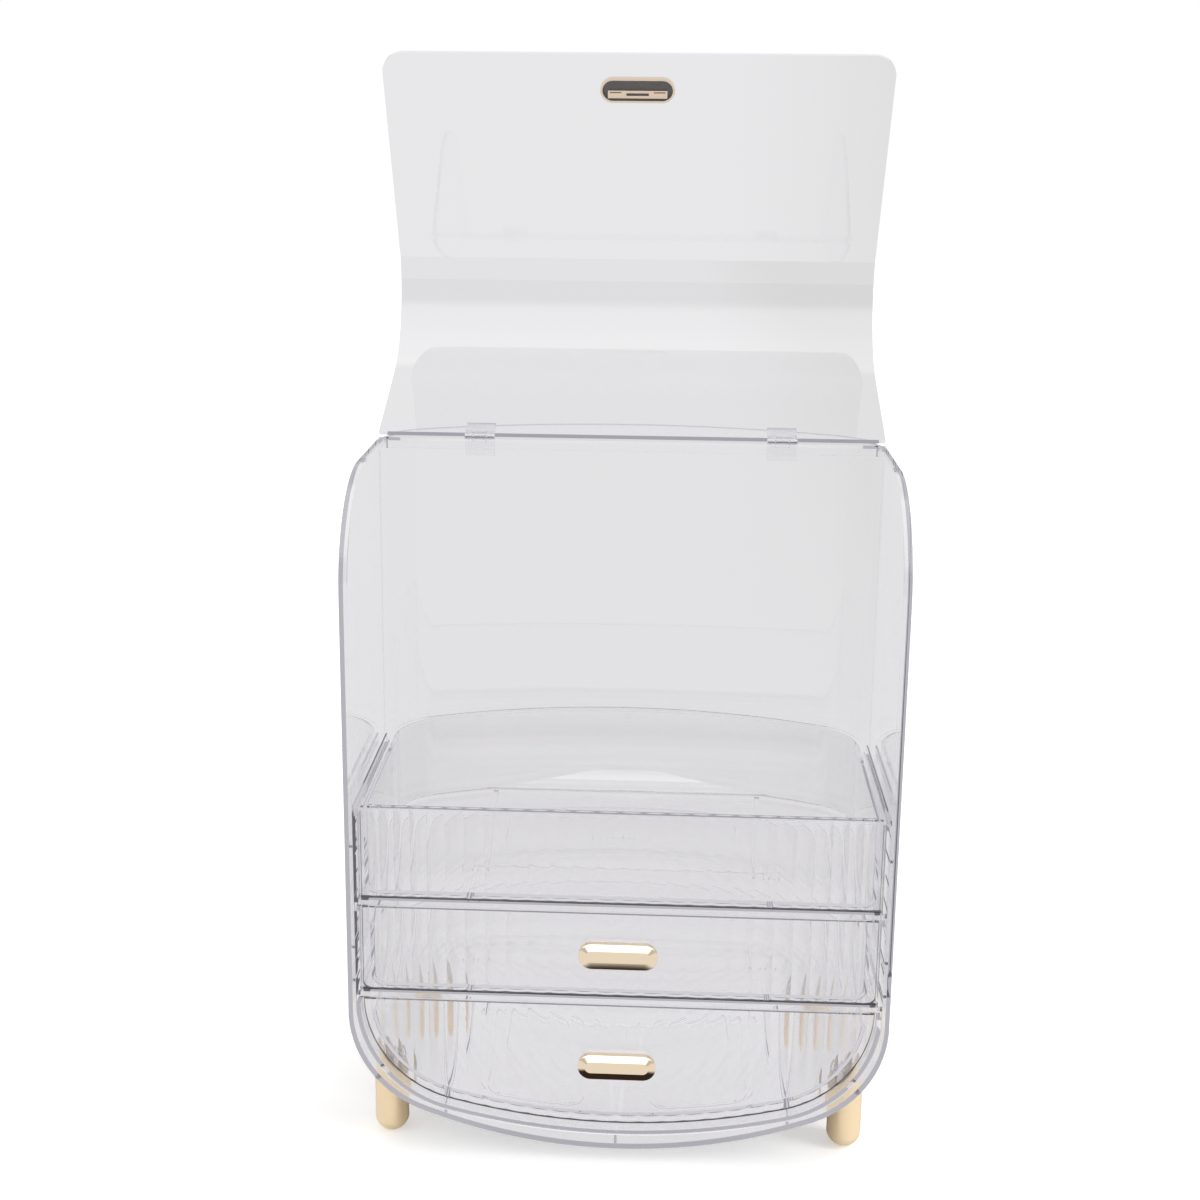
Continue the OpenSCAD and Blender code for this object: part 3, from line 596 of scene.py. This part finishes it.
def upright(y: float, z: float) -> Matrix:
    """Return the frame of a pull on an upright panel, in the middle of its width."""
    return Matrix.Translation((0.0, y, z)) @ Matrix.Rotation(math.pi / 2, 4, "X")


class Group(ABC):
    """A sub-assembly of the organizer."""

    @abstractmethod
    def finishes(self) -> dict[str, Finish]:
        """Return the finish of each of the sub-assembly's CAD nodes."""

    def build(self, frame: dict[str, bpy.types.Object]) -> None:
        """Dress the sub-assembly's nodes.

        Args:
            frame: The CAD nodes by name.
        """
        for name, finish in self.finishes().items():
            materials = frame[name].data.materials
            materials.clear()
            materials.append(finish.material())
            LOG.info("%s: %s", name, finish.name)


class Housing(Group):
    """The standing part: shell, drawer frame, shelves, hinge brackets, pads, feet and screws."""

    def finishes(self) -> dict[str, Finish]:
        """Name the housing's nodes and their finishes.

        Returns:
            The finish of each node.
        """
        nodes = {"housing_shell": SHELL_CLEAR, "drawer_frame": SHELL_CLEAR,
                 "upper_shelf": SHELF_CLEAR, "lower_shelf": SHELF_CLEAR}
        for side in ("left", "right"):
            nodes[f"hinge_bracket_{side}"] = HINGE_CLEAR
            nodes[f"hinge_pin_{side}"] = SCREW_STEEL
            nodes[f"lid_rest_pad_{side}"] = PAD_CLEAR
            nodes[f"foot_front_{side}"] = FOOT_GOLD
            nodes[f"foot_rear_{side}"] = FOOT_GOLD
        nodes["foot_screws"] = SCREW_STEEL
        return nodes


@dataclass(frozen=True)
class Lid(Group):
    """The wrap-over lid with its pull and hinge knuckles, open as it stands at rest."""

    hinge: Point = (0.0, 0.012912, 0.3664)
    opening: float = 156.0
    pull_y: float = -0.108238
    pull_z: float = 0.218

    def finishes(self) -> dict[str, Finish]:
        """Return the finish of each of the lid's nodes."""
        return {
            "lid": LID_CLEAR, "lid_handle": GOLD, "lid_handle_clip": CLIP_GOLD,
            "lid_knuckle_left": HINGE_CLEAR, "lid_knuckle_right": HINGE_CLEAR,
        }

    def build(self, frame: dict[str, bpy.types.Object]) -> None:
        """Dress the lid's nodes and model its pull.

        Args:
            frame: The CAD nodes by name.
        """
        super().build(frame)
        hinge = Vector(self.hinge)
        turn = Matrix.Rotation(-math.radians(self.opening), 4, "X")
        opened = Matrix.Translation(hinge) @ turn @ Matrix.Translation(-hinge)
        PullHandle("pull_lid", Body.LID, "lid_handle").build(opened @ upright(self.pull_y, self.pull_z))


class Tray(Group):
    """The open tray above the drawers."""

    def finishes(self) -> dict[str, Finish]:
        """Return the tray's finish."""
        return {"makeup_tray": BOX_CLEAR}


@dataclass(frozen=True)
class Drawer(Group):
    """A drawer with its pull and the clip in it."""

    body: Body
    pull_z: float
    pull_y: float = -0.098738

    def finishes(self) -> dict[str, Finish]:
        """Return the finish of each of the drawer's nodes."""
        name = self.body.value
        return {name: BOX_CLEAR, f"{name}_handle": GOLD, f"{name}_handle_clip": CLIP_GOLD}

    def build(self, frame: dict[str, bpy.types.Object]) -> None:
        """Dress the drawer's nodes and model its pull.

        Args:
            frame: The CAD nodes by name.
        """
        super().build(frame)
        name = self.body.value
        PullHandle(f"pull_{name}", self.body, f"{name}_handle").build(upright(self.pull_y, self.pull_z))


@dataclass(frozen=True)
class View:
    """The photograph's camera: its place, its turn and its frame of 1200 by 1200 pixels."""

    eye: Point = (0.01813, -0.862016, 0.535519)
    yaw: float = -0.044039
    pitch: float = 0.247695
    roll: float = -0.009408
    focal_px: float = 1631.525
    centre_px: Span = (592.185, 532.201)
    side_px: float = 1200.0
    sensor_mm: float = 36.0
    sees: Span = (0.05, 50.0)

    def build(self) -> bpy.types.Object:
        """Make the camera and set it as the scene's.

        Returns:
            The camera object.
        """
        lens = bpy.data.cameras.new("photo_camera")
        lens.sensor_width = self.sensor_mm
        lens.lens = self.focal_px * self.sensor_mm / self.side_px
        lens.shift_x = (self.side_px / 2 - self.centre_px[0]) / self.side_px
        lens.shift_y = (self.centre_px[1] - self.side_px / 2) / self.side_px
        lens.clip_start, lens.clip_end = self.sees
        camera = bpy.data.objects.new("photo_camera", lens)
        camera.matrix_world = self._matrix()
        bpy.context.scene.collection.objects.link(camera)
        bpy.context.scene.camera = camera
        return camera

    def _matrix(self) -> Matrix:
        """Work out the camera's place and turn.

        Returns:
            The camera's frame, with Z backwards.
        """
        cos_p, sin_p = math.cos(self.pitch), math.sin(self.pitch)
        ahead = Vector((math.sin(self.yaw) * cos_p, math.cos(self.yaw) * cos_p, -sin_p))
        level = Vector((math.cos(self.yaw), -math.sin(self.yaw), 0.0))
        below = ahead.cross(level)
        right = level * math.cos(self.roll) + below * math.sin(self.roll)
        down = -level * math.sin(self.roll) + below * math.cos(self.roll)
        turn = Matrix((right, -down, -ahead)).transposed().to_4x4()
        return Matrix.Translation(self.eye) @ turn


@dataclass(frozen=True)
class SoftBox:
    """An area lamp with a soft, even face, which no surface mirrors."""

    name: str
    place: Point
    aim: Point
    size: Span
    watts: float

    def build(self) -> None:
        """Make the lamp."""
        lamp = bpy.data.lights.new(self.name, "AREA")
        lamp.shape = "RECTANGLE"
        lamp.size, lamp.size_y = self.size
        lamp.energy = self.watts
        made = bpy.data.objects.new(self.name, lamp)
        made.location = self.place
        made.rotation_euler = (Vector(self.aim) - Vector(self.place)).to_track_quat("-Z", "Y").to_euler()
        made.visible_glossy = made.visible_transmission = False
        bpy.context.scene.collection.objects.link(made)


THROUGH_RIGHT: Colour = (0.725, 0.72, 0.725)
PALE_AROUND: Colour = (0.80, 0.795, 0.805)


@dataclass(frozen=True)
class Rays:
    """What a ray sees by how it came: straight, off a surface, or turned inside the plastic."""

    straight: Socket
    mirrored: Socket
    inside: Socket

    def sort(self, wiring: Wiring) -> Socket:
        """Return the colour for the ray.

        Args:
            wiring: The wiring of the world or the table.

        Returns:
            The colour's socket.
        """
        turned = wiring.pick(wiring.turned("Transmission"), self.mirrored, self.inside)
        return wiring.pick(wiring.turned("Glossy"), self.straight, turned)


@dataclass(frozen=True)
class Room:
    """The plain room, as the world.

    The camera sees it white, and dull surfaces see it even. A look straight through the plastic is
    a little darker, more so to the right. A mirror shows a bright ceiling above a grey skyline, and
    light that the plastic turns back comes from the dim front or the pale rest of the room.
    """

    through: Colour = (0.815, 0.815, 0.825)
    through_right: Colour = THROUGH_RIGHT
    rightward: Span = (0.02, 0.20)
    skyline: Colour = (0.62, 0.62, 0.62)
    ceiling: Colour = (2.9, 2.9, 2.9)
    ceiling_rise: Span = (0.28, 0.52)
    ceiling_back: Span = (0.45, 0.15)
    ceiling_least: float = 0.25
    front_dim: Colour = (0.10, 0.095, 0.12)
    side_pale: Colour = PALE_AROUND
    front: Span = (-0.95, -0.35)
    even: Colour = (0.80, 0.80, 0.80)
    white: Colour = (1.0, 1.0, 1.0)

    def build(self) -> None:
        """Make the world."""
        world = bpy.data.worlds.new("studio_room")
        world.use_nodes = True
        bpy.context.scene.world = world
        world.node_tree.nodes.clear()
        wiring = Wiring(world.node_tree)
        toward = wiring.split(wiring.node("ShaderNodeTexCoord").outputs["Generated"])
        up = wiring.ramp(toward["Z"], *self.ceiling_rise)
        back = wiring.ramp(toward["Y"], *self.ceiling_back, least=self.ceiling_least)
        seen = Rays(
            straight=wiring.pick(wiring.ramp(toward["X"], *self.rightward), self.through, self.through_right),
            mirrored=wiring.pick(wiring.compute("MULTIPLY", up, back), self.skyline, self.ceiling),
            inside=wiring.pick(wiring.ramp(toward["Y"], *self.front), self.front_dim, self.side_pale),
        ).sort(wiring)
        lit = wiring.pick(wiring.sees_plastic(), self.even, seen)
        colour = wiring.pick(wiring.ray("Is Camera Ray"), lit, self.white)
        light = wiring.node("ShaderNodeBackground", {"Color": colour})
        wiring.node("ShaderNodeOutputWorld", {"Surface": light.outputs[0]})


@dataclass(frozen=True)
class Table:
    """The pale table, which keeps the object's shadow and is white far out.

    A mirror shows it dark close to the object, a painted shadow, and pale beyond, and a look through
    the plastic shows it a little darker than the white round the object.
    """

    reach: float = 6.0
    colour: Colour = (0.82, 0.82, 0.82)
    lift: Colour = (0.32, 0.32, 0.32)
    lift_far: Colour = (0.60, 0.60, 0.60)
    far: Span = (0.7, 2.0)
    near: Span = (0.135, 0.165)
    through: Colour = (0.775, 0.77, 0.78)
    through_right: Colour = THROUGH_RIGHT
    rightward: Span = (0.10, 0.45)
    # Painted shadow: mirrors see the table close to the object nearly black.
    mirrored_painted_shadow: Colour = (0.035, 0.022, 0.018)
    mirrored_front: Colour = (0.90, 0.90, 0.90)
    mirrored_behind: Colour = (0.62, 0.62, 0.62)
    below: Colour = (0.96, 0.955, 0.965)
    around: Colour = PALE_AROUND

    def build(self) -> None:
        """Make the table."""
        bpy.ops.mesh.primitive_plane_add(size=2 * self.reach, location=(0.0, 0.0, 0.0))
        table = bpy.context.object
        table.name = "table"
        top = bpy.data.materials.new("table_top")
        top.use_nodes = True
        top.node_tree.nodes.clear()
        self._paint(Wiring(top.node_tree))
        table.data.materials.append(top)

    def _paint(self, wiring: Wiring) -> None:
        """Make the table's material.

        Args:
            wiring: The wiring of the empty material.
        """
        place = wiring.place()
        reach = wiring.node("ShaderNodeVectorMath", {0: place}, "LENGTH").outputs["Value"]
        along = wiring.split(place)
        away = wiring.ramp(reach, *self.near)
        ahead = wiring.ramp(along["Y"], 0.0, -self.near[0])
        front = wiring.pick(ahead, self.mirrored_behind, self.mirrored_front)
        seen = Rays(
            straight=wiring.pick(wiring.ramp(along["X"], *self.rightward), self.through, self.through_right),
            mirrored=wiring.pick(away, self.mirrored_painted_shadow, front),
            inside=wiring.pick(away, self.below, self.around),
        ).sort(wiring)
        lift = wiring.node("ShaderNodeEmission", {
            "Color": wiring.pick(wiring.ramp(reach, *self.far), self.lift, self.lift_far)})
        white = wiring.node("ShaderNodeBsdfDiffuse", {"Color": self.colour})
        plain = wiring.node("ShaderNodeAddShader", {0: white.outputs[0], 1: lift.outputs[0]})
        shown = wiring.node("ShaderNodeEmission", {"Color": seen})
        surface = wiring.blend(wiring.sees_plastic(), plain.outputs[0], shown.outputs[0])
        wiring.node("ShaderNodeOutputMaterial", {"Surface": surface})


@dataclass(frozen=True)
class LightPaths:
    """How often light may pass or turn among the clear walls that lie behind each other."""

    turns: int = 40
    passes: int = 40
    mirrors: int = 16
    openings: int = 32

    def apply(self) -> None:
        """Set the limits."""
        cycles = bpy.context.scene.cycles
        cycles.max_bounces = self.turns
        cycles.transmission_bounces = self.passes
        cycles.glossy_bounces = self.mirrors
        cycles.transparent_max_bounces = self.openings


def build_studio() -> None:
    """Make the room, the table and the lamps."""
    middle = (0.0, 0.0, 0.25)
    Room().build()
    Table().build()
    for box in (
        SoftBox("softbox_left", (-1.3, -0.9, 1.5), middle, (0.9, 1.2), 2.5),
        SoftBox("softbox_right", (1.5, -0.5, 1.3), middle, (0.6, 1.2), 15.0),
        SoftBox("softbox_top", (0.1, 0.5, 2.1), (0.0, 0.0, 0.2), (1.4, 0.9), 12.0),
    ):
        box.build()


def main() -> None:
    """Dress the organizer, model its pulls and set it in the studio."""
    logging.basicConfig(level=logging.INFO, format="%(name)s: %(message)s")
    bpy.ops.wm.read_factory_settings(use_empty=True)
    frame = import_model()
    drawers = (Drawer(Body.UPPER_DRAWER, pull_z=0.1175), Drawer(Body.LOWER_DRAWER, pull_z=0.0535))
    for group in (Housing(), Lid(), Tray(), *drawers):
        group.build(frame["nodes"])
    View().build()
    build_studio()
    LightPaths().apply()
    bpy.context.scene.view_settings.view_transform = "Standard"


if __name__ == "__main__":
    main()
